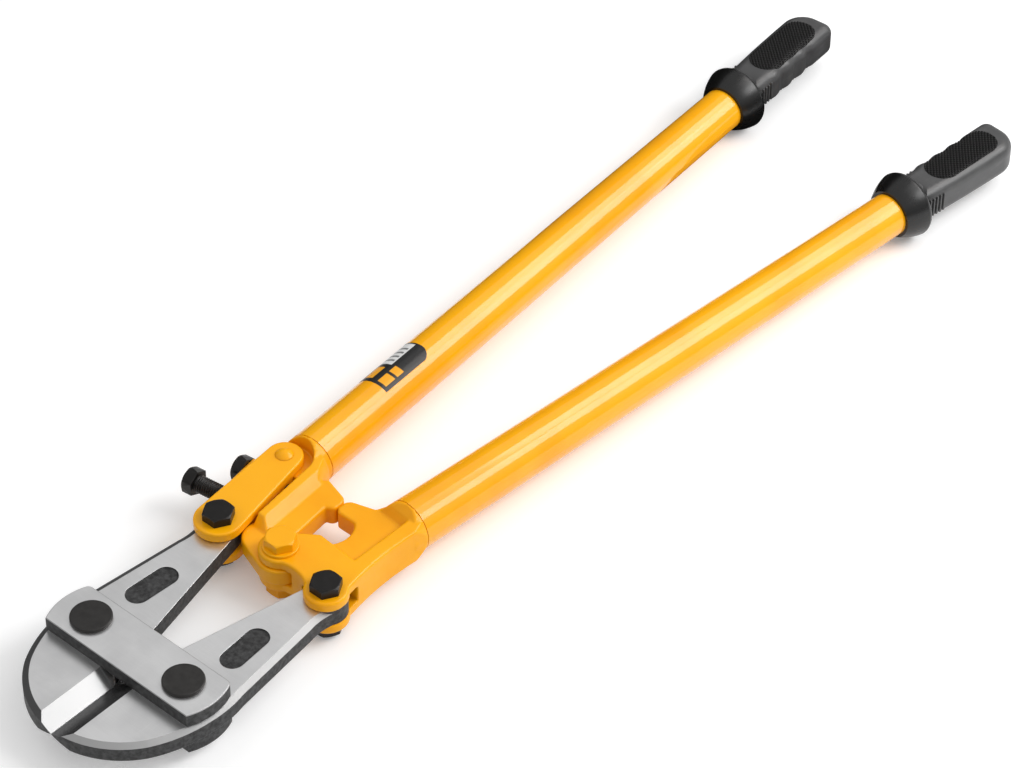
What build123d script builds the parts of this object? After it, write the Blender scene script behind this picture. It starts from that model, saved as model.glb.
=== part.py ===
from build123d import *
import math
import os

# Bolt cutters, closed, lying flat. Millimetres. +Y runs from the jaws to the grips, +X is the
# right-hand side seen from above with the jaws nearest, +Z is up. The origin is on the centre
# pivot's axis, on the plane that the tool rests on. Everything is drawn about the middle plane
# of the tool and lifted by rest_height at the end.

# Stack of plates across the tool, half sizes from the middle plane
jaw_half = 6.4
face_gap = 0.3
plate_in = jaw_half + face_gap
plate_t = 7.7
plate_out = plate_in + plate_t
strap_t = 10.7
strap_out = plate_in + strap_t
web_half = 8.0

# Plan layout of the pivots, right-hand side; the left is the mirror image
rivet_x = 43.0
rivet_y = -133.7
tail_x = 50.2
tail_y = -8.4
link_rivet_x = -60.2
link_rivet_y = 65.5

# Fits
turn_gap = 0.05
open_gap = 4.2
edge_gap = 0.4
seat_gap = 0.02

# Jaws
nose_y = -212.3
heel_y = -152.5
bevel_back = 3.0
bevel_w = 14.8
edge_land = 0.24
ground_w = 4.4
ground_h = 2.4
tail_r = 14.6
tail_in_at = 167.0
tail_out_at = -30.0
pocket_len = 24.5
pocket_r = 8.7
pocket_depth = 1.2
pocket_x = 43.5
pocket_y = -78.6
pocket_lean = 4.0

# Straps and their rivets
strap_front = 20.0
strap_rear = 20.5
strap_front_x = 65.6
strap_side_x = 70.6
strap_rear_x = 66.0
strap_corner = 5.0
rivet_r = 9.0
rivet_head_r = 14.4
rivet_head_h = 2.8
rivet_round = 0.9

# Hexagon fasteners
bolt_r = 7.0
bolt_af = 20.0
bolt_head_h = 7.0
nut_h = 8.0
bolt_proud = 1.0
hex_crown = 0.485
washer_r = 13.0
washer_t = 2.2

# Link plates, their rivet, and the two adjusting screws
link_front_r = 17.5
link_rear_r = 13.3
link_round = 1.6
link_gap = 1.2
recess_rear_r = 18.1
recess_rear_x = 2.6
link_rivet_r = 5.5
link_dome_r = 6.7
link_dome_h = 3.2
jack_r = 6.4
screw_af = 17.5
screw_head_h = 8.5
jack_at = 30.0
jack_out = 41.0
tip_gap = 0.8
clamp_at = 58.5
clamp_r = 5.0
clamp_depth = 16.0
block_from = 18.5
block_to = 65.5
block_out = 20.0
block_in = 13.5

# Handle heads
eye_r = 17.6
lobe_x = -21.5
lobe_y = 4.5
lobe_r = 14.8
ear_r = 15.6
ear_tail_r = 15.6
sweep_gap = 0.6
stop_gap = 0.4
stop_x = -2.15
slot_tail_r = 19.0
cast_round = 2.0
eye_round = 1.5
ridge_x = -28.0
ridge_y = 13.0
arm_turn = 4.5
slope_w = 7.0
ramp_len = 15.0
wall_foot = 11.5
wall_top = 6.6
flange_r = 27.0
flange_len = 22.0

# Tubes and grips; each axis leaves the head at an offset from the tool's centre line
axis_ref_y = 36.3
left_axis_x = -50.9
left_axis_turn = 4.17
right_axis_x = 36.85
right_axis_turn = -4.78
left_seam = 50.0
right_seam = 47.0
tube_head_r = 19.2
tube_grip_r = 16.5
tube_wall = 2.5
left_tube_len = 490.0
right_tube_len = 479.5
tube_neck_from = 6.0
tube_neck_to = 18.0
tube_neck_r = 10.5
tube_in_grip = 116.0
spigot_len = 45.0
grip_len = 126.0
grip_half_h = 13.5
grip_toe_r = 8.0
grip_heel_r = 19.0
grip_round = 8.0
collar_front_r = 18.8
collar_r = 25.7
collar_crest = 17.0
collar_lip = 3.0
collar_swell = 0.9
collar_back = 30.0
neck_r = 14.5
wave_pitch = 17.0
wave_depth = 1.4
wave_count = 4
wave_from = 40.0
wave_x = 16.6
heel_x = 19.0

rest_height = collar_r


def plan(start, *steps):
    """A closed face: each step is an end point, or a (through, end) pair for an arc."""
    here = start
    edges = []
    for step in steps:
        if isinstance(step[0], tuple):
            through, end = step
            edges.append(ThreePointArc(here, through, end))
        else:
            end = step
            edges.append(Line(here, end))
        here = end
    if here != start:
        edges.append(Line(here, start))
    return make_face(edges)


def hull(x1, y1, r1, x2, y2, r2):
    """A face round two circles."""
    one = Pos(x1, y1) * Circle(r1)
    two = Pos(x2, y2) * Circle(r2)
    return make_hull([one.edge(), two.edge()])


def slab(face, low, high):
    """The face as a plate between two heights."""
    return extrude(Pos(0, 0, low) * face, high - low)


def eased(solid, radius):
    """A plate with the rims of its top and bottom faces rounded."""
    levels = solid.edges().group_by(Axis.Z)
    return fillet(levels[0] + levels[-1], radius)


def pin(x, y, radius, low, high):
    """An upright cylinder."""
    return Pos(x, y, low) * Cylinder(radius, high - low, align=(Align.CENTER, Align.CENTER, Align.MIN))


def hexagon(af, height):
    """A hexagon prism standing on Z = 0, its upper corners turned off at thirty degrees."""
    prism = extrude(RegularPolygon(af / 2, 6, major_radius=False), height)
    crown = af * hex_crown
    turned = Cone(crown + height * math.sqrt(3), crown, height, align=(Align.CENTER, Align.CENTER, Align.MIN))
    return prism & turned


def hex_bolt(radius, af, head_h, length):
    """A bolt along Z: its head stands on Z = 0 and its shank hangs below."""
    return hexagon(af, head_h) + pin(0, 0, radius, -length, 0)


def hex_nut(radius, af, height):
    """A nut hanging below Z = 0."""
    return Rot(180, 0, 0) * (hexagon(af, height) - pin(0, 0, radius + seat_gap, -1, height + 1))


def mirrored(solid):
    return mirror(solid, Plane.YZ)


# Jaws


def on_tail(angle):
    """A point on the rim of the right-hand jaw's round tail."""
    turn = math.radians(angle)
    return (tail_x + tail_r * math.cos(turn), tail_y + tail_r * math.sin(turn))


def jaw(rivet_gap):
    """The right-hand jaw: blade, ground outer rim, arm with its pocket, round tail."""
    tail_in = on_tail(tail_in_at)
    tail_out = on_tail(tail_out_at)
    face = plan(
        (edge_gap / 2, nose_y),
        (edge_gap / 2, heel_y - 3),
        ((edge_gap / 2 + 0.9, heel_y - 0.9), (edge_gap / 2 + 3, heel_y)),
        (6.0, heel_y + 3.5),
        (12.4, rivet_y + 23.0),
        tail_in,
        (on_tail(45), tail_out),
        ((61.5, -25.0), (62.4, -36.0)),
        (70.3, rivet_y + 26.0),
        ((72.2, rivet_y + 11.5), (71.6, rivet_y - 3.5)),
        ((67.4, rivet_y - 25.0), (57.6, rivet_y - 47.0)),
        ((33.5, rivet_y - 69.5), (edge_gap / 2, nose_y)),
    )
    body = slab(face, -jaw_half, jaw_half)
    for flat in (body.faces().sort_by(Axis.Z)[0], body.faces().sort_by(Axis.Z)[-1]):
        outer = [e for e in flat.edges() if e.center().X > 28 and e.center().Y < -30]
        body = chamfer(outer, ground_w, ground_h, reference=flat)
    wedge = plan(
        (-1, edge_land / 2),
        (edge_gap / 2, edge_land / 2),
        (edge_gap / 2 + bevel_w, jaw_half),
        (edge_gap / 2 + bevel_w, jaw_half + 1),
        (-1, jaw_half + 1),
    )
    wedge = Pos(0, heel_y + bevel_back, 0) * extrude(Plane.XZ * wedge, heel_y - nose_y + 2 * bevel_back)
    body -= wedge
    body -= mirror(wedge, Plane.XY)
    pocket = Rot(0, 0, 90 + pocket_lean) * SlotCenterToCenter(pocket_len, 2 * pocket_r)
    pocket = Pos(pocket_x, pocket_y) * pocket
    body -= slab(pocket, jaw_half - pocket_depth, jaw_half + 1)
    body -= slab(pocket, -jaw_half - 1, -jaw_half + pocket_depth)
    body -= pin(rivet_x, rivet_y, rivet_r + rivet_gap, -20, 20)
    body -= pin(tail_x, tail_y, bolt_r + turn_gap, -20, 20)
    return body


def strap(low, high):
    """A cross plate that holds the two jaw rivets."""
    y0 = rivet_y - strap_front
    y1 = rivet_y + strap_rear
    face = plan(
        (-strap_front_x, y0),
        (strap_front_x, y0),
        ((strap_side_x, rivet_y), (strap_rear_x, y1)),
        (-strap_rear_x, y1),
        ((-strap_side_x, rivet_y), (-strap_front_x, y0)),
    )
    plate = slab(face, low, high)
    rear = [e for e in plate.edges().filter_by(Axis.Z) if e.center().Y > rivet_y]
    plate = fillet(rear, strap_corner)
    plate = chamfer(plate.edges().group_by(Axis.Z)[0] + plate.edges().group_by(Axis.Z)[-1], 0.5)
    for side in (-1, 1):
        plate -= pin(side * rivet_x, rivet_y, rivet_r + seat_gap, -30, 30)
    return plate


def jaw_rivet(side):
    """A pin with a flat round head outside each strap."""
    x = side * rivet_x
    body = pin(x, rivet_y, rivet_r, -strap_out, strap_out)
    top = pin(x, rivet_y, rivet_head_r, strap_out, strap_out + rivet_head_h)
    top = fillet(top.edges().group_by(Axis.Z)[-1], rivet_round)
    return body + top + mirror(top, Plane.XY)


# Link between the left handle and the left jaw


link_dx = link_rivet_x + tail_x
link_dy = link_rivet_y - tail_y
link_len = math.hypot(link_dx, link_dy)
link_turn = math.degrees(math.atan2(link_dy, link_dx)) - 90


def on_link(shape):
    """From the link's own frame (Y along it from the tail bolt, X towards the pivot) to the tool's."""
    return Pos(-tail_x, tail_y) * Rot(0, 0, link_turn) * shape


def link_plate(low, high):
    plate = hull(0, 0, link_front_r, 0, link_len, link_rear_r)
    plate = eased(slab(plate, low, high), link_round)
    plate -= pin(0, 0, bolt_r + seat_gap, -30, 30)
    plate -= pin(0, link_len, link_rivet_r + seat_gap, -30, 30)
    return on_link(plate)


def link_rivet():
    """A rivet with a low dome outside each link plate."""
    ball = (link_dome_r**2 + link_dome_h**2) / (2 * link_dome_h)
    dome = Pos(0, link_len, plate_out + link_dome_h - ball) * Sphere(ball)
    dome &= pin(0, link_len, link_dome_r, plate_out, plate_out + link_dome_h)
    body = pin(0, link_len, link_rivet_r, -plate_out, plate_out) + dome + mirror(dome, Plane.XY)
    return on_link(body)


def across_link(at):
    """A place on the link's centre line whose +Z points outwards, away from the pivot."""
    return Pos(0, at, 0) * Rot(0, -90, 0)


def link_block():
    """The block between the link plates, tapped for the two screws."""
    face = plan(
        (-block_out, block_from),
        (block_in, block_from),
        (block_in, block_to),
        (-block_out, block_to),
    )
    block = slab(face, -plate_in, plate_in)
    block -= pin(0, 0, tail_r + 1.0, -20, 20)
    for at, radius in ((jack_at, jack_r), (clamp_at, clamp_r)):
        block -= across_link(at) * pin(0, 0, radius + turn_gap, -40, 40)
    return on_link(block)


def arm_face_at(at):
    """How far the left head's side face stands from the link's centre line."""
    front = link_front_r + link_gap
    rear = recess_rear_x + recess_rear_r
    return front + (rear - front) * at / link_len


def jack_screw():
    length = jack_out + arm_face_at(jack_at) - tip_gap
    screw = hex_bolt(jack_r, screw_af, screw_head_h, length)
    return on_link(across_link(jack_at) * Pos(0, 0, jack_out) * screw)


def clamp_screw():
    length = block_out + arm_face_at(clamp_at) + clamp_depth
    screw = hex_bolt(clamp_r, screw_af, screw_head_h, length)
    return on_link(across_link(clamp_at) * Pos(0, 0, block_out + face_gap) * screw)


# Handles


def on_axis(side, shape):
    """From a handle's own frame (Y along the tube, X to the right) to the tool's."""
    if side < 0:
        return Pos(left_axis_x, axis_ref_y) * Rot(0, 0, left_axis_turn) * shape
    return Pos(right_axis_x, axis_ref_y) * Rot(0, 0, right_axis_turn) * shape


def seam(side):
    return left_seam if side < 0 else right_seam


def turned(*points):
    """A solid of revolution about the Y axis from (radius, along) points."""
    face = make_face(Polyline(*points, close=True))
    return revolve(face, Axis.Y)


def tube_len(side):
    return left_tube_len if side < 0 else right_tube_len


def tube_r_at(side, along):
    """The tube's outer radius at a distance from its head end."""
    return tube_head_r + (tube_grip_r - tube_head_r) * along / (tube_len(side) + tube_neck_from)


def tube_shape(side, low, high, grow):
    """The tube's solid shape from low to high along its axis, grown or shrunk all round."""
    y = seam(side)
    end = y + tube_len(side)
    return turned(
        (0, y + low),
        (tube_r_at(side, low) + grow, y + low),
        (tube_grip_r + grow, end + tube_neck_from),
        (tube_neck_r + grow, end + tube_neck_to),
        (tube_neck_r + grow, y + high),
        (0, y + high),
    )


def tube(side):
    """A tapered handle tube, drawn in to a neck inside the grip."""
    end = tube_len(side) + tube_in_grip
    return on_axis(side, tube_shape(side, 0, end, 0) - tube_shape(side, -1, end + 1, -tube_wall))


def stub(side, *roof):
    """The round end of a head: a shoulder under a rising roof, then the taper that holds the tube.

    The roof is given as (distance before the seam, half height) points.
    """
    y = seam(side)
    low = y - roof[0][0]
    far = y + spigot_len
    r0 = tube_r_at(side, 0) - tube_wall - seat_gap
    r1 = tube_r_at(side, spigot_len) - tube_wall - seat_gap
    whole = turned((0, low), (tube_head_r, low), (tube_head_r, y), (r0, y), (r1, far), (0, far))
    over = [(y - before, half) for before, half in roof]
    over += [(y, tube_head_r + 1), (far + 1, tube_head_r + 1)]
    under = [(along, -half) for along, half in reversed(over)]
    return whole & extrude(Plane.YZ * plan(*over, *under), 2 * tube_head_r, both=True)


def flange(side):
    """The space that a head's plates may fill, turned in to the tube's size at the seam."""
    y = seam(side)
    return on_axis(side, turned((0, -120), (120, -120), (120, y - flange_len), (flange_r, y - flange_len),
                                (tube_head_r, y - face_gap), (0, y - face_gap)))


def arm():
    """The left head's raised arm: flat beside the link, sloping to the web and to the eye."""
    body = slab(plan((-40, 3), (-15.5, 3), (-16, 30), (-19, 80), (-60, 84), (-48, 40)), -plate_out, plate_out)
    side = plan((0, plate_out), (slope_w, web_half), (60, web_half), (60, 40), (0, 40))
    side = Pos(ridge_x, ridge_y) * Rot(0, 0, arm_turn) * extrude(Plane.XZ * side, 120, both=True)
    foot_y = ridge_y - slope_w
    front = plan((ridge_y, plate_out), (foot_y, jaw_half), (-60, jaw_half), (-60, 40), (ridge_y, 40))
    front = extrude(Plane.YZ * front, 80, both=True)
    for cut in (side, front):
        body -= cut
        body -= mirror(cut, Plane.XY)
    return body & flange(-1)


def left_head():
    """The left head: one eye at the centre pivot, a raised arm beside the link, a web with the stop."""
    face = stop_x - stop_gap / 2
    web = plan(
        (-24.0, 8.0),
        (-4.5, 16.0),
        (-8.0, 52.0),
        ((face - 2.6, 53.0), (face, 56.0)),
        (face, 64.0),
        (face - 3.5, 67.5),
        (-25.0, 73.0),
        (-40.0, 60.0),
    )
    web = eased(slab(web, -web_half, web_half), cast_round)
    tang = plan((-36.0, 44.0), (-52.0, 58.0), (-64.0, 53.0), (-71.0, 60.0), (-72.0, 84.0), (-36.0, 84.0))
    body = arm() + web + slab(tang, -plate_in, plate_in)
    body += on_axis(-1, stub(-1, (ramp_len, plate_out)))
    recess = hull(0, 0, link_front_r + link_gap, recess_rear_x, link_len, recess_rear_r)
    recess = on_link(slab(recess, plate_in, 40))
    body -= recess
    body -= mirror(recess, Plane.XY)
    slot = plan((-60, -20), (arm_face_at(0), -20), (arm_face_at(0), 0),
                (arm_face_at(block_to + 1), block_to + 1), (-60, block_to + 1))
    body -= on_link(slab(slot, -plate_in, plate_in))
    body += eased(slab(hull(0, 0, eye_r, lobe_x, lobe_y, lobe_r), -jaw_half, jaw_half), eye_round)
    ring = pin(0, 0, ear_r + sweep_gap, jaw_half, 40)
    body -= ring
    body -= mirror(ring, Plane.XY)
    body -= on_link(pin(0, link_len, link_rivet_r + seat_gap, -30, 30))
    tapped = pin(0, 0, clamp_r + turn_gap, -arm_face_at(clamp_at) - clamp_depth - 2, block_out)
    body -= on_link(across_link(clamp_at) * tapped)
    body -= pin(0, 0, bolt_r + turn_gap, -30, 30)
    return body


def right_head():
    """The right head: forked at the centre pivot and at the jaw's tail, with a sunk web and a stop."""
    plate = plan(
        (-4.0, 14.0),
        (4.0, 20.5),
        (12.0, 26.4),
        (45.2, 24.0),
        (46.0, 80.5),
        (60.0, 80.5),
        ((57.2, 46.0), (59.2, 15.0)),
        (61.5, 0.0),
        (52.0, -17.0),
        (40.0, -17.0),
        ((24.0, -10.0), (8.0, -12.0)),
        (-4.0, -10.0),
    )
    plate = plate + Circle(ear_r) + Pos(tail_x, tail_y) * Rot(0, 0, 180) * Circle(ear_tail_r)
    plate = eased(slab(plate, -plate_out, plate_out), cast_round) & flange(1)
    face = stop_x + stop_gap / 2
    web = plan(
        (16.0, 15.0),
        (17.5, 27.5),
        ((22.6, 41.0), (16.5, 53.6)),
        (1.5, 53.6),
        (face, 57.0),
        (face, 64.5),
        (1.0, 68.0),
        (18.5, 73.5),
        (22.0, 82.0),
        (50.0, 82.0),
        (52.0, 15.0),
    )
    web = eased(slab(web, -web_half, web_half), cast_round)
    body = plate + web + on_axis(1, stub(1, (wall_foot, web_half), (wall_top, plate_out)))
    tail_slot = pin(tail_x, tail_y, slot_tail_r, -plate_in, plate_in)
    tail_slot += slab(plan((tail_x - slot_tail_r, -60), (90, -60), (90, 14), (tail_x, 11.6),
                           (tail_x - slot_tail_r, tail_y)), -plate_in, plate_in)
    clear_r = eye_r + sweep_gap
    eye_slot = pin(0, 0, clear_r, -plate_in, plate_in)
    eye_slot += slab(plan((-50, -50), (clear_r, -50), (clear_r, 0), (0, clear_r), (-2, 40), (-50, 40)),
                     -plate_in, plate_in)
    body -= tail_slot
    body -= eye_slot
    body -= pin(0, 0, bolt_r + seat_gap, -30, 30)
    body -= pin(tail_x, tail_y, bolt_r + seat_gap, -30, 30)
    return body


def grip_collar():
    """The barrel-shaped collar and the neck behind it, turned about the tube's axis from Y = 0."""
    crest = (collar_r, collar_crest)
    middle = ((collar_front_r + collar_r) / 2 + collar_swell, collar_crest / 2)
    rear = (collar_r - collar_lip / 3, collar_crest + collar_lip)
    section = make_face(
        [
            Polyline((neck_r, collar_back), (0, collar_back), (0, 0), (collar_front_r, 0)),
            ThreePointArc((collar_front_r, 0), middle, crest),
            TangentArc(crest, rear, tangent=(0, 1)),
            ThreePointArc(rear, (neck_r + 2.8, collar_crest + 6.5), (neck_r, collar_back)),
        ]
    )
    return revolve(section, Axis.Y)


def grip_body():
    """The flat-sided body: finger waves on one edge, a swelling back on the other."""
    waist = wave_x - wave_depth / 2
    crest = wave_x + wave_depth / 2
    start = collar_back - 7.0
    last = wave_from + (2 * wave_count - 1) * wave_pitch / 2
    heel = (heel_x, grip_len - grip_heel_r)
    edges = [
        Polyline((waist, start), (-waist, start), (-waist, wave_from)),
        Line((-crest, last), (-crest, grip_len - grip_toe_r)),
        RadiusArc((-crest, grip_len - grip_toe_r), (grip_toe_r - crest, grip_len), grip_toe_r),
        Line((grip_toe_r - crest, grip_len), (heel_x - grip_heel_r, grip_len)),
        RadiusArc((heel_x - grip_heel_r, grip_len), heel, grip_heel_r),
        TangentArc(heel, (waist, start), tangent=(0, -1)),
    ]
    for i in range(2 * wave_count - 1):
        low = wave_from + i * wave_pitch / 2
        middle = (-wave_x, low + wave_pitch / 4)
        ends = (waist, crest) if i % 2 == 0 else (crest, waist)
        edges.append(TangentArc((-ends[0], low), middle, tangent=(0, 1)))
        edges.append(TangentArc((-ends[1], low + wave_pitch / 2), middle, tangent=(0, -1)))
    return eased(slab(make_face(edges), -grip_half_h, grip_half_h), grip_round)


def grip(side):
    """A moulded grip, its finger waves towards the other handle, pushed on to the tube's end."""
    whole = grip_collar() + grip_body()
    if side < 0:
        whole = mirrored(whole)
    start = tube_len(side)
    whole = Pos(0, seam(side) + start, 0) * whole
    bore = tube_shape(side, start - 5, start + tube_in_grip + seat_gap, seat_gap)
    return on_axis(side, whole - bore)


def tail_bolt(side):
    length = 2 * plate_out + nut_h + bolt_proud
    return Pos(side * tail_x, tail_y, plate_out) * hex_bolt(bolt_r, bolt_af, bolt_head_h, length)


def tail_nut(side):
    return Pos(side * tail_x, tail_y, -plate_out) * hex_nut(bolt_r, bolt_af, nut_h)


washer_out = plate_out + seat_gap + washer_t
pivot_nut_h = rest_height - washer_out


def pivot_bolt():
    """The centre bolt, its end flush with the nut."""
    length = 2 * washer_out + pivot_nut_h
    return Pos(0, 0, washer_out) * hex_bolt(bolt_r, bolt_af, bolt_head_h, length)


def pivot_washers():
    ring = pin(0, 0, washer_r, plate_out + seat_gap, washer_out)
    ring = fillet(ring.edges().group_by(Axis.Z)[-1], 0.8)
    ring -= pin(0, 0, bolt_r + seat_gap, 0, 30)
    return Compound(children=[ring, mirror(ring, Plane.XY)])


def pivot_nut():
    return Pos(0, 0, -washer_out) * hex_nut(bolt_r, bolt_af, pivot_nut_h)


parts = {
    "left_jaw": mirrored(jaw(turn_gap)),
    "right_jaw": jaw(open_gap),
    "top_strap": strap(plate_in, strap_out),
    "bottom_strap": strap(-strap_out, -plate_in),
    "left_jaw_rivet": jaw_rivet(-1),
    "right_jaw_rivet": jaw_rivet(1),
    "top_link": link_plate(plate_in, plate_out),
    "bottom_link": link_plate(-plate_out, -plate_in),
    "link_rivet": link_rivet(),
    "link_block": link_block(),
    "jack_screw": jack_screw(),
    "clamp_screw": clamp_screw(),
    "left_head": left_head(),
    "right_head": right_head(),
    "left_tube": tube(-1),
    "right_tube": tube(1),
    "left_grip": grip(-1),
    "right_grip": grip(1),
    "left_tail_bolt": tail_bolt(-1),
    "right_tail_bolt": tail_bolt(1),
    "left_tail_nut": tail_nut(-1),
    "right_tail_nut": tail_nut(1),
    "pivot_bolt": pivot_bolt(),
    "pivot_washers": pivot_washers(),
    "pivot_nut": pivot_nut(),
}

os.makedirs("parts", exist_ok=True)
for node, shape in parts.items():
    export_step(Pos(0, 0, rest_height) * shape, f"parts/{node}.step")
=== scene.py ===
# %% [markdown]
# # Bolt cutters
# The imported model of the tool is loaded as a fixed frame: every piece is already at its real size
# and place, in metres. The jaws point towards -Y, the grips towards +Y, and Z = 0 is the bench.
# This lesson gives the pieces their finishes and adds the detail that a plain solid does not have:
# softened castings, screw threads, knurled pads and ribs on the grips, and a label on a tube.

# %% Load the frame
import math

import bpy
from mathutils import Matrix, Vector


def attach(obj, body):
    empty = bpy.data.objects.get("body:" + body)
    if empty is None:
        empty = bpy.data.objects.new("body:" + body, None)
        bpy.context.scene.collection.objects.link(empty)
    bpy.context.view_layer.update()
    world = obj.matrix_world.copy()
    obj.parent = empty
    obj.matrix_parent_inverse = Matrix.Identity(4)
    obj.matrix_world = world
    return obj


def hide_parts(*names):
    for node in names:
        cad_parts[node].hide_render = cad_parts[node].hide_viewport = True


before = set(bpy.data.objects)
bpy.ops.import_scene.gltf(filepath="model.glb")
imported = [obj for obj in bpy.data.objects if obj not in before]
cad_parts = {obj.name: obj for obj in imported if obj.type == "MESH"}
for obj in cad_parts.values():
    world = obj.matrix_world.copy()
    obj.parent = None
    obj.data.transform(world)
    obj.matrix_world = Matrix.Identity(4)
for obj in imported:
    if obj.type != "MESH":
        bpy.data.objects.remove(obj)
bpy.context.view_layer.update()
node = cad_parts
mm = 0.001
middle_height = 25.7 * mm

# %% [markdown]
# ## Camera
# The photograph was taken with a long lens from the jaws' right-hand side. The camera's place and
# its point of aim were worked out from the tool's own parallels and centres, so the camera is set
# from those two points and a small roll.

# %% Camera
camera_place = Vector((1.37929, -1.32176, 1.93066))
camera_aim = Vector((-0.00235, 0.23533, 0.0257))
camera_roll = math.radians(0.343)
camera_reach = 60.0
sensor_width = 36.0
focal_pixels = 4000.0
image_width = 1024.0

lens = bpy.data.cameras.new("photo_camera")
lens.sensor_width = sensor_width
lens.lens = focal_pixels / image_width * sensor_width
lens.clip_end = camera_reach
camera = bpy.data.objects.new("photo_camera", lens)
bpy.context.scene.collection.objects.link(camera)
away = (camera_place - camera_aim).normalized()
aim = away.to_track_quat("Z", "Y").to_matrix().to_4x4()
camera.matrix_world = Matrix.Translation(camera_place) @ aim @ Matrix.Rotation(camera_roll, 4, "Z")
bpy.context.scene.camera = camera
print("lens", round(lens.lens, 1), "mm, distance", round((camera_place - camera_aim).length, 2), "m")

# %% [markdown]
# ## Writing finishes as sums
# A finish is a tree of shader nodes. One small class wraps a socket so that Python's own operators
# add the Math nodes, and one method adds any other node by its type, settings and inputs. The floor
# and the dome of light are written with it as well, so it comes before them.

# %% Shader values


class Value:
    """A socket of a node tree that takes part in Python sums."""

    samples = 6
    # The Mix node has sockets for every kind of value. These are the numbers of those for colours.
    mix_first, mix_second, mix_result = 6, 7, 2

    def __init__(self, tree, socket=None):
        self.tree = tree
        self.socket = socket

    def add(self, kind, settings, inputs, output=0):
        """Any other node: its settings are set first, then the values or links of its sockets."""
        made = self.tree.nodes.new(kind)
        for name, setting in settings.items():
            if name == "stops":
                for stop, (position, colour) in zip(made.color_ramp.elements, setting):
                    stop.position = position
                    stop.color = colour
            else:
                setattr(made, name, setting)
        for name, value in inputs.items():
            if isinstance(value, Value):
                self.tree.links.new(value.socket, made.inputs[name])
            else:
                made.inputs[name].default_value = value
        return Value(self.tree, made.outputs[output])

    def math(self, operation, first, second):
        return self.add("ShaderNodeMath", {"operation": operation}, {0: first, 1: second})

    def __add__(self, other):
        return self.math("ADD", self, other)

    def __sub__(self, other):
        return self.math("SUBTRACT", self, other)

    def __rsub__(self, other):
        return self.math("SUBTRACT", other, self)

    def __mul__(self, other):
        return self.math("MULTIPLY", self, other)

    def __abs__(self):
        return self.math("ABSOLUTE", self, 0.0)

    __radd__ = __add__
    __rmul__ = __mul__

    def axis(self, number):
        """One of the three parts of a place or a direction."""
        return self.add("ShaderNodeSeparateXYZ", {}, {0: self}, output=number)

    def step(self, low, high):
        """0 below low, 1 above high, smooth between."""
        settings = {"interpolation_type": "SMOOTHSTEP"}
        return self.add("ShaderNodeMapRange", settings, {"Value": self, "From Min": low, "From Max": high})

    def between(self, low, high, soft):
        """1 between low and high, 0 outside, with soft ends."""
        return self.step(low - soft, low + soft) * (1 - self.step(high - soft, high + soft))

    def blend(self, first, second):
        """A colour that goes from first to second as this value goes from 0 to 1."""
        inputs = {0: self, self.mix_first: first, self.mix_second: second}
        return self.add("ShaderNodeMix", {"data_type": "RGBA"}, inputs, output=self.mix_result)

    def noise(self, scale, detail=3.0, roughness=0.55):
        """Cloudy noise at this place, from 0 to 1. The scale is in spots per metre."""
        inputs = {"Vector": self, "Scale": scale, "Detail": detail, "Roughness": roughness}
        return self.add("ShaderNodeTexNoise", {}, inputs)

    def stretched(self, factors):
        """The same place with its three axes stretched."""
        return self.add("ShaderNodeVectorMath", {"operation": "MULTIPLY"}, {0: self, 1: factors})

    def rounded(self, radius):
        """The surface normal as if the sharp edges had this radius."""
        return self.add("ShaderNodeBevel", {"samples": self.samples}, {"Radius": radius})

    def edge(self, radius):
        """1 along the edges of a piece and 0 on its faces."""
        normal = self.add("ShaderNodeNewGeometry", {}, {}, output="Normal")
        inputs = {0: self.rounded(radius), 1: normal}
        flat = self.add("ShaderNodeVectorMath", {"operation": "DOT_PRODUCT"}, inputs, output="Value")
        return (1 - flat).step(0.02, 0.22)

    def crevice(self, reach):
        """1 in the piece's own hollows and 0 where it is open."""
        settings = {"samples": self.samples, "only_local": True}
        open_air = self.add("ShaderNodeAmbientOcclusion", settings, {"Distance": reach}, output="AO")
        return (1 - open_air).step(0.15, 0.75)

    def bump(self, strength, distance, normal):
        """A surface normal raised by this height, on top of another normal."""
        inputs = {"Height": self, "Strength": strength, "Distance": distance, "Normal": normal}
        return self.add("ShaderNodeBump", {}, inputs)


def new_finish(name):
    """A new finish and its shader."""
    finish = bpy.data.materials.new(name)
    finish.use_nodes = True
    return finish, finish.node_tree.nodes["Principled BSDF"]


def surface(finish, kind):
    """Where a point is on its piece (Object), where it faces (Normal) or its place in a print (UV)."""
    return Value(finish.node_tree).add("ShaderNodeTexCoord", {}, {}, output=kind)


def feed(shader, **inputs):
    """Sets or links the shader's sockets, named with underscores for spaces."""
    for name, value in inputs.items():
        socket = shader.inputs[name.replace("_", " ")]
        if isinstance(value, Value):
            value.tree.links.new(value.socket, socket)
        else:
            socket.default_value = value


print("shader sums ready")

# %% [markdown]
# ## Floor, cards and light
# A pale floor lies under a soft dome. The main softbox hangs at the right behind the tool, in line with
# it, and draws a pale band along the tubes; a smaller one overhead lights the cutting bevel. Two cards
# are there for the reflections alone: the camera does not see them and they cast no shadow. A bent black
# one lies and stands at the left, because bright steel only looks like steel when it has something dark
# to reflect. A white one hangs beside the main softbox and makes the band on the tubes as broad as a
# big window would.

# %% Floor
floor_size = 40.0
floor_white = (0.93, 0.93, 0.93, 1)
floor_glow = 0.16


def deselect():
    """Nothing stays selected, so that the next operator acts on the new piece alone."""
    bpy.ops.object.select_all(action="DESELECT")


def plain_finish(name, colour):
    """An even matt finish, and its shader, for the things that stand around the object."""
    finish, shader = new_finish(name)
    feed(shader, Base_Color=colour, Roughness=0.9, Specular_IOR_Level=0.0)
    return finish, shader


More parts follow.
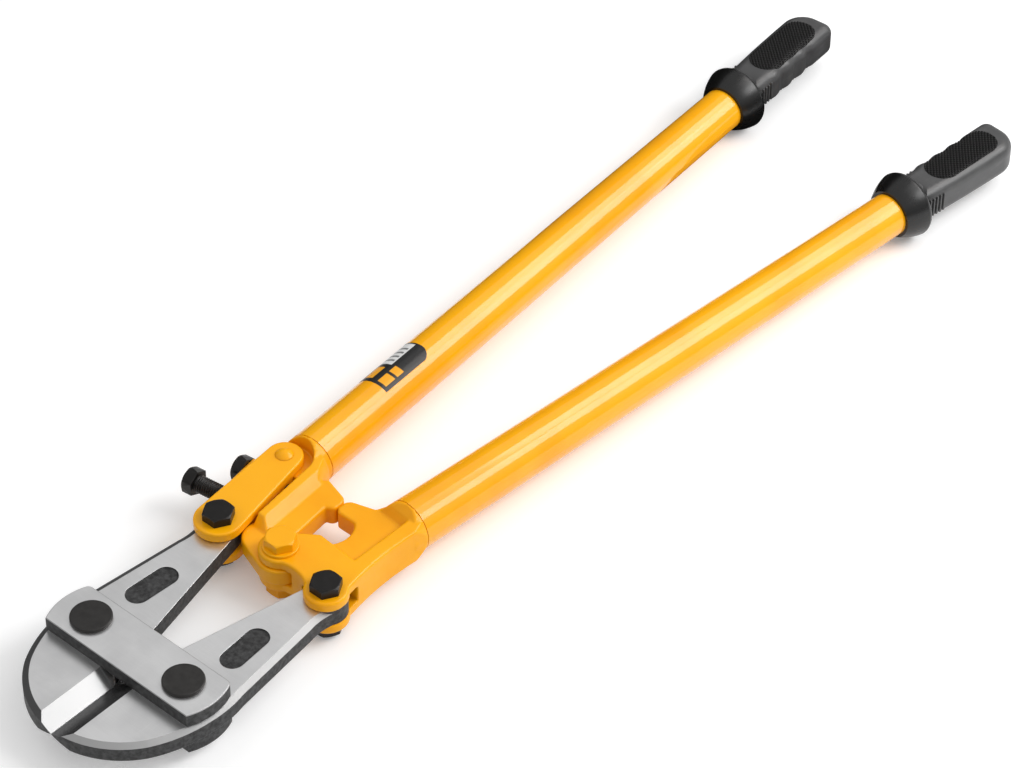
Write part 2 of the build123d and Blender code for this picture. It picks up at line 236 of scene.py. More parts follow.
deselect()
bpy.ops.mesh.primitive_plane_add(size=floor_size, location=(0, 0, 0))
floor = bpy.context.object
floor.name = "floor"
floor_finish, floor_shader = plain_finish("pale_floor", floor_white)
floor.data.materials.append(floor_finish)
rays = Value(floor_finish.node_tree)
seen = rays.add("ShaderNodeLightPath", {}, {}, output="Is Camera Ray")
for ray in ("Is Glossy Ray", "Is Transmission Ray"):
    seen = seen.math("MAXIMUM", seen, rays.add("ShaderNodeLightPath", {}, {}, output=ray))
feed(floor_shader, Emission_Color=(1, 1, 1, 1), Emission_Strength=floor_glow * seen)
print("floor", floor_size, "m")

# %% Black card
black_card_place = (-0.70, 0.32, 0.002)
black_card_turn = math.radians(-34)
black_card_scale = (0.85, 1.7, 0.95)
black_card_rise = 0.9
card_black = (0.01, 0.01, 0.01, 1)


def make_active(piece):
    """The piece alone is selected and active."""
    deselect()
    piece.select_set(True)
    bpy.context.view_layer.objects.active = piece


def select_vertices(piece, test):
    """Selects in code, by place, and leaves the piece in edit mode."""
    make_active(piece)
    mesh = piece.data
    for vertex in mesh.vertices:
        vertex.select = test(vertex.co)
    for part in (mesh.edges, mesh.polygons):
        for element in part:
            element.select = all(mesh.vertices[i].select for i in element.vertices)
    bpy.ops.object.mode_set(mode="EDIT")
    bpy.ops.mesh.select_mode(type="VERT")


def edit_done():
    """Leaves edit mode."""
    bpy.ops.object.mode_set(mode="OBJECT")


def reflected_only(thing):
    """Hides a card from all but reflections."""
    thing.visible_camera = False
    thing.visible_diffuse = False
    thing.visible_shadow = False


deselect()
bpy.ops.mesh.primitive_plane_add(size=1.0)
black_card = bpy.context.object
black_card.name = "black_card"
select_vertices(black_card, lambda corner: corner.x < 0)
bpy.ops.mesh.extrude_region_move(TRANSFORM_OT_translate={"value": (0, 0, black_card_rise)})
edit_done()
black_card.matrix_world = (Matrix.Translation(black_card_place) @ Matrix.Rotation(black_card_turn, 4, "Z")
                           @ Matrix.Diagonal((*black_card_scale, 1.0)))
black_finish, _ = plain_finish("black_card", card_black)
black_card.data.materials.append(black_finish)
reflected_only(black_card)
print("black card", len(black_card.data.polygons), "faces at", [round(v, 2) for v in black_card.location])

# %% Lamps and white card
tool_origin = (0.0, 0.0, 0.0)
tool_middle = (0.05, 0.30, 0.03)
white_card_place = (0.328, 1.664, 1.744)
white_card_scale = (0.9, 0.9, 1.0)
card_white = (0.8, 0.8, 0.8, 1)
card_glow = (1, 0.95, 0.92, 1)
card_strength = 5.0


def facing(place, target):
    """The turn and place of something that faces its target, its length in line with the tool."""
    back = (Vector(place) - Vector(target)).normalized()
    along = (Vector((0, 1, 0)) - back * back.y).normalized()
    turn = Matrix((along.cross(back), along, back)).transposed().to_4x4()
    return Matrix.Translation(place) @ turn


def softbox(name, place, target, width, length, power):
    """A rectangular lamp that faces its target."""
    data = bpy.data.lights.new(name, "AREA")
    data.shape = "RECTANGLE"
    data.size = width
    data.size_y = length
    data.energy = power
    lamp = bpy.data.objects.new(name, data)
    bpy.context.scene.collection.objects.link(lamp)
    lamp.matrix_world = facing(place, target)


softbox("main", (1.12, 1.32, 1.375), tool_middle, width=0.80, length=1.7, power=25.0)
softbox("overhead", (0.43, 0.95, 1.7), tool_origin, width=0.9, length=0.9, power=3.0)
deselect()
bpy.ops.mesh.primitive_plane_add(size=1.0)
white_card = bpy.context.object
white_card.name = "white_card"
white_card.matrix_world = facing(white_card_place, tool_middle) @ Matrix.Diagonal((*white_card_scale, 1.0))
white_finish, white_shader = plain_finish("white_card", card_white)
feed(white_shader, Emission_Color=card_glow, Emission_Strength=card_strength)
white_card.data.materials.append(white_finish)
reflected_only(white_card)

# %% Dome
dome_low = (0.22, 0.22, 0.225, 1)
dome_high = (0.74, 0.74, 0.74, 1)
dome_stops = ((0.0, dome_low), (0.58, dome_high))

world = bpy.data.worlds.new("dome")
world.use_nodes = True
bpy.context.scene.world = world
sky = Value(world.node_tree).add("ShaderNodeTexCoord", {}, {}, output="Generated")
shade = sky.add("ShaderNodeValToRGB", {"stops": dome_stops}, {0: sky.axis(2)})
feed(world.node_tree.nodes["Background"], Color=shade, Strength=1.0)
bpy.context.scene.view_settings.view_transform = "Standard"
print("dome from", dome_low[0], "at the floor to", dome_high[0], "overhead")

# %% [markdown]
# ## Yellow enamel
# The heads, links and tubes are sprayed with a thick yellow enamel. It is glossy, runs a little
# orange where it is thin along the edges, and has the faint ripple of sprayed paint. The castings
# show the sand of their mould through it, so their ripple is coarser than that of the drawn tubes.

# %% Yellow enamel
bright_yellow = (0.98, 0.44, 0.0010, 1)
deep_yellow = (0.92, 0.365, 0.0006, 1)
thin_yellow = (0.74, 0.235, 0.0005, 1)
painted_shade_yellow = (0.42, 0.150, 0.0010, 1)
cloud_share = 0.8
thin_share = 0.55
painted_shade_share = 0.65
painted_shade_reach = 8 * mm


def enamel_finish(name, ripple, ripple_height, edge_radius, coat, coat_roughness):
    """Sprayed paint: clouds of two yellows, thin along the edges, and darker in the hollows as painted
    shade.
    """
    finish, shader = new_finish(name)
    place = surface(finish, "Object")
    cloud = place.noise(16.0, 4.0).step(0.38, 0.72)
    thin = place.edge(edge_radius) * place.noise(160.0, 3.0).step(0.42, 0.62)
    colour = (cloud_share * cloud).blend(bright_yellow, deep_yellow)
    colour = (thin_share * thin).blend(colour, thin_yellow)
    # Painted shade: the piece's own hollows are darkened towards a brownish yellow.
    colour = (painted_shade_share * place.crevice(painted_shade_reach)).blend(colour, painted_shade_yellow)
    skin = place.noise(ripple, 3.0) + 0.08 * place.noise(1400.0, 2.0)
    feed(shader, Base_Color=colour, Roughness=0.42 + 0.10 * cloud)
    feed(shader, Specular_IOR_Level=0.1, Coat_Weight=coat - 0.12 * cloud, Coat_Roughness=coat_roughness)
    feed(shader, Normal=skin.bump(0.5, ripple_height, place.rounded(edge_radius)))
    return finish


tube_enamel = enamel_finish("tube_enamel", ripple=120.0, ripple_height=0.06 * mm, edge_radius=0.5 * mm,
                            coat=0.92, coat_roughness=0.10)
cast_enamel = enamel_finish("cast_enamel", ripple=210.0, ripple_height=0.30 * mm, edge_radius=0.8 * mm,
                            coat=0.40, coat_roughness=0.14)
print("made", tube_enamel.name, cast_enamel.name)

# %% [markdown]
# ## Ground steel
# The flat faces of the jaws and straps are ground bright, with fine lines across them, and the two
# cutting bevels are polished. The walls are left as forged, nearly black, and so is the floor of the
# pocket in each jaw. The direction that a face points in, and its height, tell these apart: flat faces
# are level, the cutting bevels a little less, the coarse rim less again. As painted shade, the left jaw's
# rim is nearly black and the right jaw's cutting bevel darker than the left's; the other rims are pale.

# %% Ground steel
jaw_face = 6.4 * mm
pocket_floor = 5.2 * mm
pocket_wall = (pocket_floor + 0.3 * mm, jaw_face - 0.2 * mm)
face_level = (0.45, 0.62)
rim_level = (0.62, 0.90, 0.01)
bevel_level = (0.905, 0.945, 0.006)
flat_level = (0.95, 0.97)
line_stretch = (70.0, 2100.0, 70.0)
scratch_stretch = (900.0, 45.0, 45.0)
smear_stretch = (22.0, 240.0, 22.0)
ground_dull = (0.60, 0.60, 0.605, 1)
ground_bright = (0.87, 0.87, 0.87, 1)
forged_dark = (0.008, 0.008, 0.008, 1)
forged_pale = (0.068, 0.068, 0.069, 1)
rubbed_edge = (0.55, 0.55, 0.55, 1)
edge_wear = 0.5 * mm


def ground_steel_finish(name, pocketed, rim_tone, bevel_tone):
    """Bright on the ground faces, forged on the walls, with a tone of its own for rim and bevel."""
    finish, shader = new_finish(name)
    place = surface(finish, "Object")
    level = abs(surface(finish, "Normal").axis(2))
    lines = place.stretched(line_stretch).noise(1.0, 4.0, 0.7)
    scratches = place.stretched(scratch_stretch).noise(1.0, 3.0, 0.6).step(0.60, 0.74)
    cloud = place.noise(28.0, 3.0)
    smear = place.stretched(smear_stretch).noise(1.0, 3.0, 0.6)
    tone = 0.35 * lines + 0.35 * cloud.step(0.3, 0.7) + 0.20 * smear + 0.10 * scratches
    grain = place.noise(300.0, 5.0, 0.65)
    face = level.step(*face_level)
    rim = level.between(*rim_level)
    polished = level.between(*bevel_level)
    if pocketed:
        height = abs(place.axis(2) - middle_height)
        sunk = 1 - height.step(*pocket_wall)
        face = face * (1 - sunk * level.step(*flat_level))
    forged = grain.step(0.25, 0.75).blend(forged_dark, forged_pale)
    colour = face.blend(forged, tone.blend(ground_dull, ground_bright))
    colour = (0.30 * place.edge(edge_wear)).blend(colour, rubbed_edge)
    colour = (0.9 * rim).blend(colour, rim_tone)
    colour = (0.9 * polished).blend(colour, bevel_tone)
    feed(shader, Base_Color=colour, Metallic=0.30 + 0.65 * face)
    feed(shader, Roughness=0.52 - 0.22 * face - 0.13 * polished + 0.26 * rim + 0.08 * lines)
    height_map = 0.35 * lines + 0.25 * scratches + (1 - face) * (1.6 * grain)
    feed(shader, Normal=height_map.bump(0.35, 0.09 * mm, place.rounded(edge_wear)))
    return finish


# Painted shade: the left jaw's rim is given a nearly black tone and the right jaw's cutting bevel a darker
# one than the left's.
painted_shade_rim = (0.035, 0.035, 0.035, 1)
pale_rim = (0.36, 0.36, 0.36, 1)
bright_bevel = (0.50, 0.50, 0.50, 1)
painted_shade_bevel = (0.25, 0.25, 0.25, 1)
left_jaw_steel = ground_steel_finish("left_jaw_steel", True, painted_shade_rim, bright_bevel)
right_jaw_steel = ground_steel_finish("right_jaw_steel", True, pale_rim, painted_shade_bevel)
strap_steel = ground_steel_finish("strap_steel", False, pale_rim, bright_bevel)
print("made", left_jaw_steel.name, right_jaw_steel.name, strap_steel.name)

# %% [markdown]
# ## Black oxide
# Bolts, screws and rivets are blackened steel: dark, slightly brown and satin, rubbed lighter along
# their edges; on the rivets that pale edge is also a painted highlight of their rims. The rivets were
# hammered over, so they are duller and greyer than the bolts.

# %% Black oxide


def black_oxide_finish(name, dark, pale, rubbed_and_highlight, dull):
    """Blackened steel in clouds of two tones, paler along its edges from rubbing, which on the rivets is
    also a painted highlight.
    """
    finish, shader = new_finish(name)
    place = surface(finish, "Object")
    cloud = place.noise(150.0, 5.0, 0.6)
    wear_and_highlight = place.edge(0.9 * mm) * (0.35 + 0.65 * place.noise(420.0, 3.0).step(0.35, 0.65))
    colour = wear_and_highlight.blend(cloud.blend(dark, pale), rubbed_and_highlight)
    feed(shader, Base_Color=colour, Metallic=0.45, Roughness=dull + 0.16 * cloud - 0.10 * wear_and_highlight)
    feed(shader, Specular_IOR_Level=0.35)
    feed(shader, Normal=(place.noise(1300.0, 3.0) + cloud).bump(0.35, 0.04 * mm, place.rounded(0.6 * mm)))
    return finish


bolt_oxide = black_oxide_finish("bolt_oxide", dark=(0.006, 0.0055, 0.005, 1), dull=0.26,
                                pale=(0.022, 0.020, 0.019, 1), rubbed_and_highlight=(0.075, 0.072, 0.072, 1))
# Painted highlight: the rivets' pale edge colour stands for light along their rims.
rivet_oxide = black_oxide_finish("rivet_oxide", dark=(0.016, 0.015, 0.0145, 1), dull=0.40,
                                 pale=(0.052, 0.050, 0.048, 1), rubbed_and_highlight=(0.28, 0.275, 0.27, 1))
print("made", bolt_oxide.name, rivet_oxide.name)

# %% [markdown]
# ## Grip rubber
# The grips are moulded in black rubber. Their bodies have a greyer, silkier skin than
# the collars, which are black, so the finish changes at a distance along the handle. The knurled pads
# have the blackest skin.

# %% Grip rubber
# Side -1 is the left handle, side 1 the right one. An axis has its X at the handle's start and its turn.
handle_axis = {-1: (-50.9 * mm, math.radians(4.17)), 1: (36.85 * mm, math.radians(-4.78))}
handle_start = 36.3 * mm
grip_start = {-1: 540.0 * mm, 1: 526.5 * mm}
collar_end = (20 * mm, 34 * mm)
collar_black = (0.0045, 0.0045, 0.0045, 1)


def rubber_finish(name, dark, pale, dull, gloss, side=None):
    """Moulded rubber. On a grip, which has a side, the collar is blacker than the body."""
    finish, shader = new_finish(name)
    place = surface(finish, "Object")
    cloud = place.noise(70.0, 4.0)
    scuff = place.stretched((500.0, 60.0, 220.0)).noise(1.0, 3.0, 0.6).step(0.55, 0.78)
    colour = (0.75 * cloud + 0.25 * scuff).blend(dark, pale)
    roughness = dull + 0.14 * cloud - 0.06 * scuff
    if side:
        axis_x, turn = handle_axis[side]
        aside, along = -math.sin(turn), math.cos(turn)
        origin = axis_x * aside + handle_start * along + grip_start[side]
        distance = place.axis(0) * aside + place.axis(1) * along - origin
        collar = 1 - distance.step(*collar_end)
        colour = collar.blend(colour, collar_black)
        roughness = roughness - 0.10 * collar
    feed(shader, Base_Color=colour, Roughness=roughness, Specular_IOR_Level=gloss)
    feed(shader, Normal=place.noise(2200.0, 3.0).bump(0.4, 0.05 * mm, place.rounded(0.4 * mm)))
    return finish


body_dark = (0.034, 0.034, 0.0345, 1)
body_pale = (0.095, 0.095, 0.096, 1)
pad_dark = (0.002, 0.002, 0.002, 1)
pad_pale = (0.006, 0.006, 0.006, 1)
left_rubber = rubber_finish("left_rubber", body_dark, body_pale, dull=0.32, gloss=0.5, side=-1)
right_rubber = rubber_finish("right_rubber", body_dark, body_pale, dull=0.32, gloss=0.5, side=1)
pad_rubber = rubber_finish("pad_rubber", pad_dark, pad_pale, dull=0.28, gloss=0.22)
print("made", left_rubber.name, right_rubber.name, pad_rubber.name)

# %% [markdown]
# ## Finishes on the frame's nodes
# Every node of the frame gets a finish, also those that a softened or threaded copy will stand for.

# %% Dress the nodes


def cover(piece, finish):
    """Puts one finish on a whole piece."""
    piece.data.materials.clear()
    piece.data.materials.append(finish)


def dress(finish, *names):
    """Puts a finish on nodes of the frame."""
    for name in names:
        cover(node[name], finish)


dress(tube_enamel, "left_tube", "right_tube")
dress(cast_enamel, "left_head", "right_head", "top_link", "bottom_link", "link_rivet", "link_block")
dress(cast_enamel, "pivot_bolt", "pivot_washers", "pivot_nut")
dress(left_jaw_steel, "left_jaw")
dress(right_jaw_steel, "right_jaw")
dress(strap_steel, "top_strap", "bottom_strap")
dress(rivet_oxide, "left_jaw_rivet", "right_jaw_rivet")
dress(bolt_oxide, "left_tail_bolt", "right_tail_bolt", "left_tail_nut", "right_tail_nut")
dress(bolt_oxide, "jack_screw", "clamp_screw")
dress(left_rubber, "left_grip")
dress(right_rubber, "right_grip")
print("dressed", len(node), "nodes")

# %% [markdown]
# ## Softened castings
# The two heads are sand castings under thick paint, so none of their edges is sharp. A bevel on every
# edge of such a shape would need many hand-made corners. Instead a copy of each head is cut off just
# inside its tube, rebuilt from small cubes with the Remesh modifier, and smoothed, which rounds every
# edge inside and out like thick paint does. The copy then stands for the node.

# %% Tools for new pieces
node_merge = 0.002 * mm


def edit_all(piece):
    """Opens a piece in edit mode with all of it selected."""
    make_active(piece)
    bpy.ops.object.mode_set(mode="EDIT")
    bpy.ops.mesh.select_all(action="SELECT")


def apply_modifier(piece, kind, **settings):
    """Adds a modifier, sets it and applies it."""
    make_active(piece)
    modifier = piece.modifiers.new(kind.lower(), kind)
    for name, value in settings.items():
        setattr(modifier, name, value)
    bpy.ops.object.modifier_apply(modifier=modifier.name)


def apply_place(piece):
    """Moves a piece's place, turn and scale into its mesh."""
    make_active(piece)
    bpy.ops.object.transform_apply(location=True, rotation=True, scale=True)


def copy_of(name, new_name):
    """A copy of a frame node with its loose triangles merged."""
    piece = bpy.data.objects.new(new_name, node[name].data.copy())
    bpy.context.scene.collection.objects.link(piece)
    edit_all(piece)
    bpy.ops.mesh.remove_doubles(threshold=node_merge)
    edit_done()
    return piece


def handle_frame(side):
    """From a handle's own frame (Y along the tube from the handle's start) to the tool's."""
    axis_x, turn = handle_axis[side]
    return Matrix.Translation((axis_x, handle_start, middle_height)) @ Matrix.Rotation(turn, 4, "Z")


print("tools ready")

# %% Castings
casting_voxel = 0.7 * mm
softening = 0.5
softening_rounds = 7
inside_tube = 4.0 * mm
head_seam = {-1: 50.0 * mm, 1: 47.0 * mm}


def casting(name, side, body):
    """A head with its edges softened, cut off just inside the tube."""
    piece = copy_of(name, name + "_casting")
    place = handle_frame(side)
    cut = place @ Vector((0, head_seam[side] + inside_tube, 0))
    along = place.to_3x3() @ Vector((0, 1, 0))
    edit_all(piece)
    bpy.ops.mesh.bisect(plane_co=cut, plane_no=along, use_fill=True, clear_outer=True)
    edit_done()
    apply_modifier(piece, "REMESH", mode="VOXEL", voxel_size=casting_voxel)
    apply_modifier(piece, "SMOOTH", factor=softening, iterations=softening_rounds)
    bpy.ops.object.shade_smooth()
    cover(piece, cast_enamel)
    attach(piece, body)
    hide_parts(name)
    print(piece.name, len(piece.data.polygons), "faces")


casting("left_head", -1, "left_handle")
casting("right_head", 1, "right_handle")

# %% [markdown]
# ## Screw threads
# The jack screw shows its thread between its head and the link, and the clamp screw shows one when it
# is backed out. The hexagon head is kept from the frame's node. The thread is one triangular tooth,
# carried round and along by the Screw modifier, on a plain core.

# %% Thread
thread_pitch = 1.9 * mm
thread_depth = 0.95 * mm
thread_steps = 32
tooth_sunk = 0.1 * mm
tooth_gap = 0.05 * mm
turn_merge = 0.001 * mm
rod_sides = 48
rod_bevel = 0.4 * mm


def thread(name, radius, length):
    """A threaded rod along Z from 0 to length, its tooth and its core joined."""
    turns = int(length / thread_pitch) - 1
    core = radius - thread_depth
    root = core - tooth_sunk
    deselect()
    bpy.ops.mesh.primitive_circle_add(vertices=3, radius=thread_depth, fill_type="NOTHING", calc_uvs=False)
    tooth = bpy.context.object
    corners = ((root, tooth_gap), (radius, thread_pitch / 2), (root, thread_pitch - tooth_gap))
    for vertex, (out, up) in zip(tooth.data.vertices, corners):
        vertex.co = (out, 0, up)
    apply_modifier(tooth, "SCREW", angle=2 * math.pi, screw_offset=thread_pitch, iterations=turns,
                   steps=thread_steps, render_steps=thread_steps, use_merge_vertices=True,
                   merge_threshold=turn_merge)
    bpy.ops.object.mode_set(mode="EDIT")
    bpy.ops.mesh.select_all(action="DESELECT")
    bpy.ops.mesh.select_mode(type="EDGE")
    bpy.ops.mesh.select_non_manifold()
    bpy.ops.mesh.fill()
    bpy.ops.mesh.select_all(action="SELECT")
    bpy.ops.mesh.normals_make_consistent(inside=False)
    edit_done()
    deselect()
    bpy.ops.mesh.primitive_cylinder_add(vertices=rod_sides, radius=core, depth=length,
                                        location=(0, 0, length / 2), calc_uvs=False)
    rod = bpy.context.object
    edit_all(rod)
    bpy.ops.mesh.bevel(offset=rod_bevel, segments=2)
    edit_done()
    tooth.select_set(True)
    bpy.ops.object.join()
    rod.name = name
    apply_place(rod)
    return rod


print("thread pitch", round(thread_pitch / mm, 2), "mm")

# %% Threaded screws
link_along = Vector((-0.134096, 0.990968, 0.0))
link_outward = Vector((-0.990968, -0.134096, 0.0))
link_start = Vector((-50.2 * mm, -8.4 * mm, middle_height))
seat_gap = 0.02 * mm
rod_into_head = 0.5 * mm
screw_crease = math.radians(28)


def threaded_screw(name, body, at, head_out, radius, length):
    """A screw across the link: its head from the frame's node, its shank cut as a thread."""
    root = link_start + link_along * at
    head = copy_of(name, name + "_threaded")
    edit_all(head)
    seat = root + link_outward * (head_out + seat_gap)
    bpy.ops.mesh.bisect(plane_co=seat, plane_no=link_outward, use_fill=True, clear_inner=True)
    edit_done()
    rod = thread(name + "_rod", radius, length)
    inward = (-link_outward).to_track_quat("Z", "Y").to_matrix().to_4x4()
    rod.matrix_world = Matrix.Translation(root + link_outward * (head_out + rod_into_head)) @ inward
    apply_place(rod)
    make_active(head)
    rod.select_set(True)
    bpy.ops.object.join()
    bpy.ops.object.shade_smooth_by_angle(angle=screw_crease)
    cover(head, bolt_oxide)
    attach(head, body)
    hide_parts(name)
    print(head.name, len(head.data.polygons), "faces")


threaded_screw("jack_screw", "jack_screw", at=30.0 * mm, head_out=41.0 * mm, radius=6.4 * mm,
               length=59.9 * mm)
threaded_screw("clamp_screw", "clamp_screw", at=58.5 * mm, head_out=20.3 * mm, radius=5.0 * mm,
               length=56.6 * mm)

# %% [markdown]
# ## Knurled pads
# Each grip has a knurled pad on its upper and on its lower face: rows of small pyramids with an
# outline of two straight sides and two half rounds. A grid turned by 45 degrees is laid on the grip
# with the Shrinkwrap modifier, so that it follows the rounded face, its faces are poked up into
# pyramids, it is extruded straight down into a closed body, and a Boolean with a block of the outline
# cuts it to shape. The grid lies a little off the block's middle, so that no corner of the two meets.

# %% Outline of a pad
pad_length = 69.0 * mm
pad_width = 26.5 * mm
half_run = (pad_length - pad_width) / 2
block_depth = 16 * mm
block_sides = 72
near_middle = 0.01 * mm


def pad_block():
    """A stadium-shaped block that cuts a knurled sheet to its outline."""
    deselect()
    bpy.ops.mesh.primitive_cylinder_add(vertices=block_sides, radius=pad_width / 2, depth=block_depth)
    block = bpy.context.object
    for sign in (1, -1):
        select_vertices(block, lambda place: place.y * sign > near_middle)
        bpy.ops.transform.translate(value=(0, sign * half_run, 0))
        edit_done()
    return block


print("pad outline", round(pad_length / mm, 1), "x", round(pad_width / mm, 1), "mm")

# %% Knurled pads
pad_along = 78.0 * mm
pad_sunk = 1.0 * mm
block_height = 14 * mm
knurl_pitch = 2.25 * mm
knurl_rise = 1.0 * mm
knurl_turn = math.radians(45)
knurl_margin = 1.5 * knurl_pitch
knurl_place = (0.41 * mm, 0.29 * mm, 30.0 * mm)
knurl_cells = int((pad_length + pad_width) / math.sqrt(2) / knurl_pitch) + 2
grip_side = {-1: "left", 1: "right"}


def outside_pad(place):
    """Whether a point of the grid lies well outside the pad's outline."""
    past = max(abs(place.y) - half_run, 0.0)
    return math.hypot(place.x, past) > pad_width / 2 + knurl_margin


def knurled_pad(side, face):
    """A pad on the upper (face 1) or lower (face -1) side of a grip."""
    deselect()
    bpy.ops.mesh.primitive_grid_add(x_subdivisions=knurl_cells, y_subdivisions=knurl_cells,
                                    size=knurl_cells * knurl_pitch, rotation=(0, 0, knurl_turn))
    pad = bpy.context.object
    pad.name = f"{grip_side[side]}_{'upper' if face > 0 else 'lower'}_pad"
    apply_place(pad)
    select_vertices(pad, outside_pad)
    bpy.ops.mesh.delete(type="VERT")
    edit_done()
    turn = Matrix.Rotation(0.0 if face > 0 else math.pi, 4, "Y")
    over_grip = handle_frame(side) @ Matrix.Translation((0, grip_start[side] + pad_along, 0)) @ turn
    pad.data.transform(over_grip @ Matrix.Translation(knurl_place))
    grip = node[grip_side[side] + "_grip"]
    apply_modifier(pad, "SHRINKWRAP", target=grip, wrap_method="PROJECT", use_project_x=False,
                   use_project_y=False, use_project_z=True, use_negative_direction=face > 0,
                   use_positive_direction=face < 0)
    edit_all(pad)
    bpy.ops.mesh.poke(offset=knurl_rise)
    bpy.ops.mesh.select_all(action="SELECT")
    downward = (0, 0, -face * (knurl_rise + pad_sunk))
    bpy.ops.mesh.extrude_region_move(TRANSFORM_OT_translate={"value": downward})
    bpy.ops.mesh.select_all(action="SELECT")
    bpy.ops.mesh.normals_make_consistent(inside=False)
    edit_done()
    block = pad_block()
    block.data.transform(over_grip @ Matrix.Translation((0, 0, block_height)))
    apply_modifier(pad, "BOOLEAN", operation="INTERSECT", object=block, solver="EXACT")
    bpy.data.objects.remove(block)
    cover(pad, pad_rubber)
    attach(pad, grip_side[side] + "_handle")
    print(pad.name, len(pad.data.polygons), "faces")


for side in (-1, 1):
    for face in (1, -1):
        knurled_pad(side, face)

# %% [markdown]
# ## Ribs behind the collars
# Behind the collar, both sides of each grip carry a short row of thin ribs for the thumb, with deep
# black gaps between them. One block is a cube with its edges bevelled round. Copies of it stand in a row
# on the grip's wall, which is straight on the finger side and swells slowly on the palm side, and a
# lower block of the blackest rubber lies under each row as the floor of the gaps, as painted shade.

# %% Rib tools
rib_size = (3.2 * mm, 1.7 * mm, 16.0 * mm)
rib_bevel = 0.5 * mm
finger_wall = 15.9 * mm
palm_wall = 19.0 * mm
palm_from = 107.0 * mm
palm_radius = 1139.6 * mm


def rounded_block(size):
    """A block about the origin with its edges bevelled round."""
    deselect()
    bpy.ops.mesh.primitive_cube_add(size=1.0, scale=size, calc_uvs=False)
    block = bpy.context.object
    apply_place(block)
    edit_all(block)
    bpy.ops.mesh.bevel(offset=rib_bevel, segments=3)
    edit_done()
    bpy.ops.object.shade_smooth()
    return block


def on_wall(block, side, edge, along, rise):
    """A copy of a block, sunk in a grip's side wall so that it stands out by its rise."""
    palm = edge == side
    wall = palm_wall - (palm_from - along) ** 2 / (2 * palm_radius) if palm else finger_wall
    slope = (palm_from - along) / palm_radius if palm else 0.0
    copied = bpy.data.objects.new("rib", block.data.copy())
    bpy.context.scene.collection.objects.link(copied)
    middle = Matrix.Translation((edge * (wall + rise - rib_size[0] / 2), grip_start[side] + along, 0))
    copied.data.transform(handle_frame(side) @ middle @ Matrix.Rotation(-edge * slope, 4, "Z"))
    return copied


print("rib", [round(v / mm, 1) for v in rib_size], "mm")

# %% Ribs
rib_count = 5
rib_pitch = 3.5 * mm
rib_from = 27.0 * mm
rib_rise = 1.3 * mm
row_length = rib_count * rib_pitch
row_middle = rib_from + (row_length - rib_pitch) / 2
painted_shade_floor_size = (rib_size[0], row_length, 14.0 * mm)
painted_shade_floor_rise = 0.15 * mm
grip_finish = {-1: left_rubber, 1: right_rubber}

pattern_rib = rounded_block(rib_size)
painted_shade_floor = rounded_block(painted_shade_floor_size)
# Painted shade: the floor of the gaps is the blackest rubber, darker than the grip around it, so that the
# gaps look black.
cover(painted_shade_floor, pad_rubber)
for side in (-1, 1):
    cover(pattern_rib, grip_finish[side])
    row = []
    for edge in (-1, 1):
        for number in range(rib_count):
            row.append(on_wall(pattern_rib, side, edge, rib_from + number * rib_pitch, rib_rise))
        row.append(on_wall(painted_shade_floor, side, edge, row_middle, painted_shade_floor_rise))
    make_active(row[0])
    for rib in row:
        rib.select_set(True)
    bpy.ops.object.join()
    ribs = bpy.context.object
    ribs.name = grip_side[side] + "_grip_ribs"
    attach(ribs, grip_side[side] + "_handle")
    print(ribs.name, len(row), "blocks")
bpy.data.objects.remove(pattern_rib)
bpy.data.objects.remove(painted_shade_floor)

# %% [markdown]
# ## Label
# A printed label is stuck on the left tube, a little round its outer side. A flat grid gets one corner
# cut round by a few bisecting planes. It is laid over the tube, pressed on to it with the Shrinkwrap
# modifier, given the thickness of a vinyl sticker, and turned about the tube's axis. Its print is
# plain blocks of colour, laid out on the grid's own UV map.

# %% Label print
print_black = (0.010, 0.010, 0.010, 1)
print_yellow = (0.95, 0.40, 0.001, 1)
print_white = (0.78, 0.78, 0.77, 1)
print_grey = (0.20, 0.20, 0.20, 1)
soft_across = 0.004
soft_along = 0.008
white_block = ((0.0, 0.50), (0.44, 0.97))
grey_bars = [((0.08, 0.44), (low, low + 0.04)) for low in (0.52, 0.62, 0.72, 0.82)]
yellow_blocks = [((0.62, 0.90), (0.06, 0.26)), ((0.62, 0.90), (0.31, 0.45)), ((0.10, 0.40), (0.08, 0.36))]


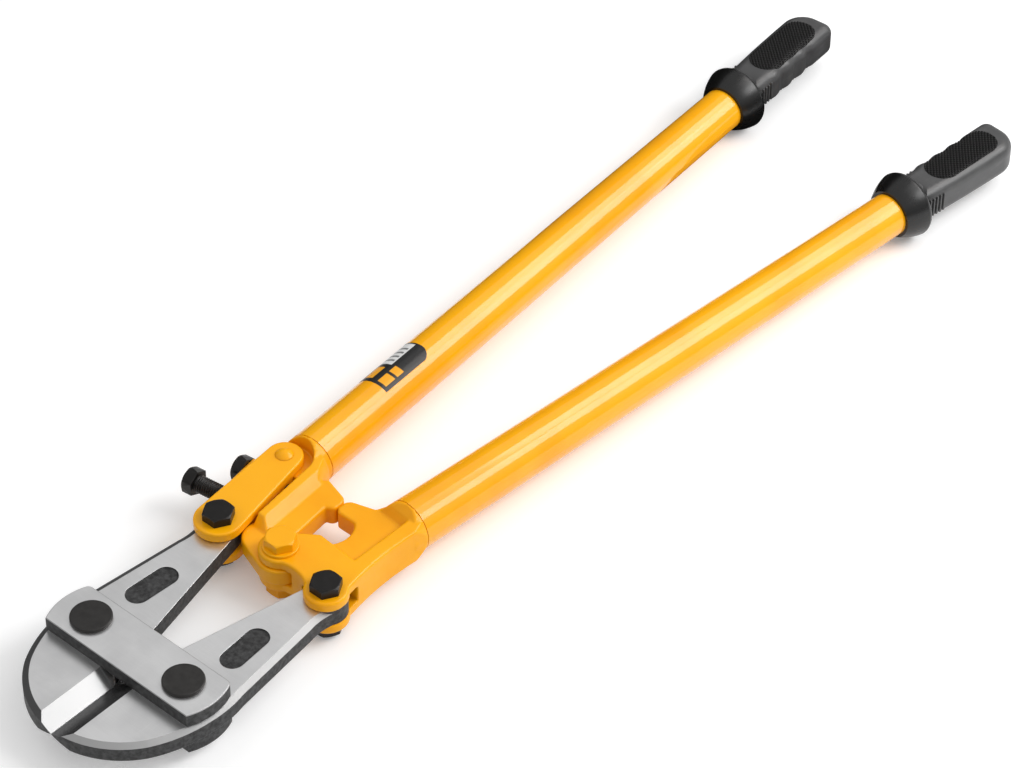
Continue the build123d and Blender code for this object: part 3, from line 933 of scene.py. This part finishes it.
def label_finish():
    """Blocks of colour on black vinyl, each a range across and a range along the label."""
    finish, shader = new_finish("label_print")
    across = surface(finish, "UV").axis(0)
    along = surface(finish, "UV").axis(1)
    blocks = [(white_block, print_white)]
    blocks += [(bar, print_grey) for bar in grey_bars]
    blocks += [(block, print_yellow) for block in yellow_blocks]
    colour = print_black
    for (across_range, along_range), tone in blocks:
        inside = across.between(*across_range, soft_across) * along.between(*along_range, soft_along)
        colour = inside.blend(colour, tone)
    scuff = surface(finish, "Object").noise(700.0, 4.0)
    feed(shader, Base_Color=(0.10 * scuff).blend(colour, print_grey), Roughness=0.30 + 0.15 * scuff)
    feed(shader, Specular_IOR_Level=0.35)
    return finish


label_print = label_finish()
print("made", label_print.name)

# %% Label
label_length = 51.0 * mm
label_width = 25.7 * mm
label_along = 146.0 * mm
label_above = 40 * mm
label_corner = 9.0 * mm
label_turn = math.radians(-12)
label_lift = 0.03 * mm
label_thickness = 0.09 * mm
label_crease = math.radians(40)
cells_across = 22
cells_along = 8

deselect()
bpy.ops.mesh.primitive_grid_add(x_subdivisions=cells_across, y_subdivisions=cells_along, size=1.0,
                                calc_uvs=True)
label = bpy.context.object
label.name = "tube_label"
label.matrix_world = Matrix.Diagonal((label_width, label_length, 1.0, 1.0))
apply_place(label)
corner_middle = Vector((label_width / 2 - label_corner, label_length / 2 - label_corner, 0))
edit_all(label)
for degrees in (15, 30, 45, 60, 75):
    outward = Vector((math.cos(math.radians(degrees)), math.sin(math.radians(degrees)), 0))
    bpy.ops.mesh.select_all(action="SELECT")
    bpy.ops.mesh.bisect(plane_co=corner_middle + label_corner * outward, plane_no=outward, clear_outer=True)
edit_done()
label.data.transform(handle_frame(-1) @ Matrix.Translation((0, label_along, label_above)))
apply_modifier(label, "SHRINKWRAP", target=node["left_tube"], wrap_method="PROJECT", use_project_x=False,
               use_project_y=False, use_project_z=True, use_negative_direction=True,
               use_positive_direction=False, offset=label_lift)
apply_modifier(label, "SOLIDIFY", thickness=label_thickness, offset=1.0)
about_tube = handle_frame(-1) @ Matrix.Rotation(label_turn, 4, "Y") @ handle_frame(-1).inverted()
label.data.transform(about_tube)
bpy.ops.object.shade_smooth_by_angle(angle=label_crease)
label.data.materials.append(label_print)
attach(label, "left_handle")
print(label.name, len(label.data.polygons), "faces")
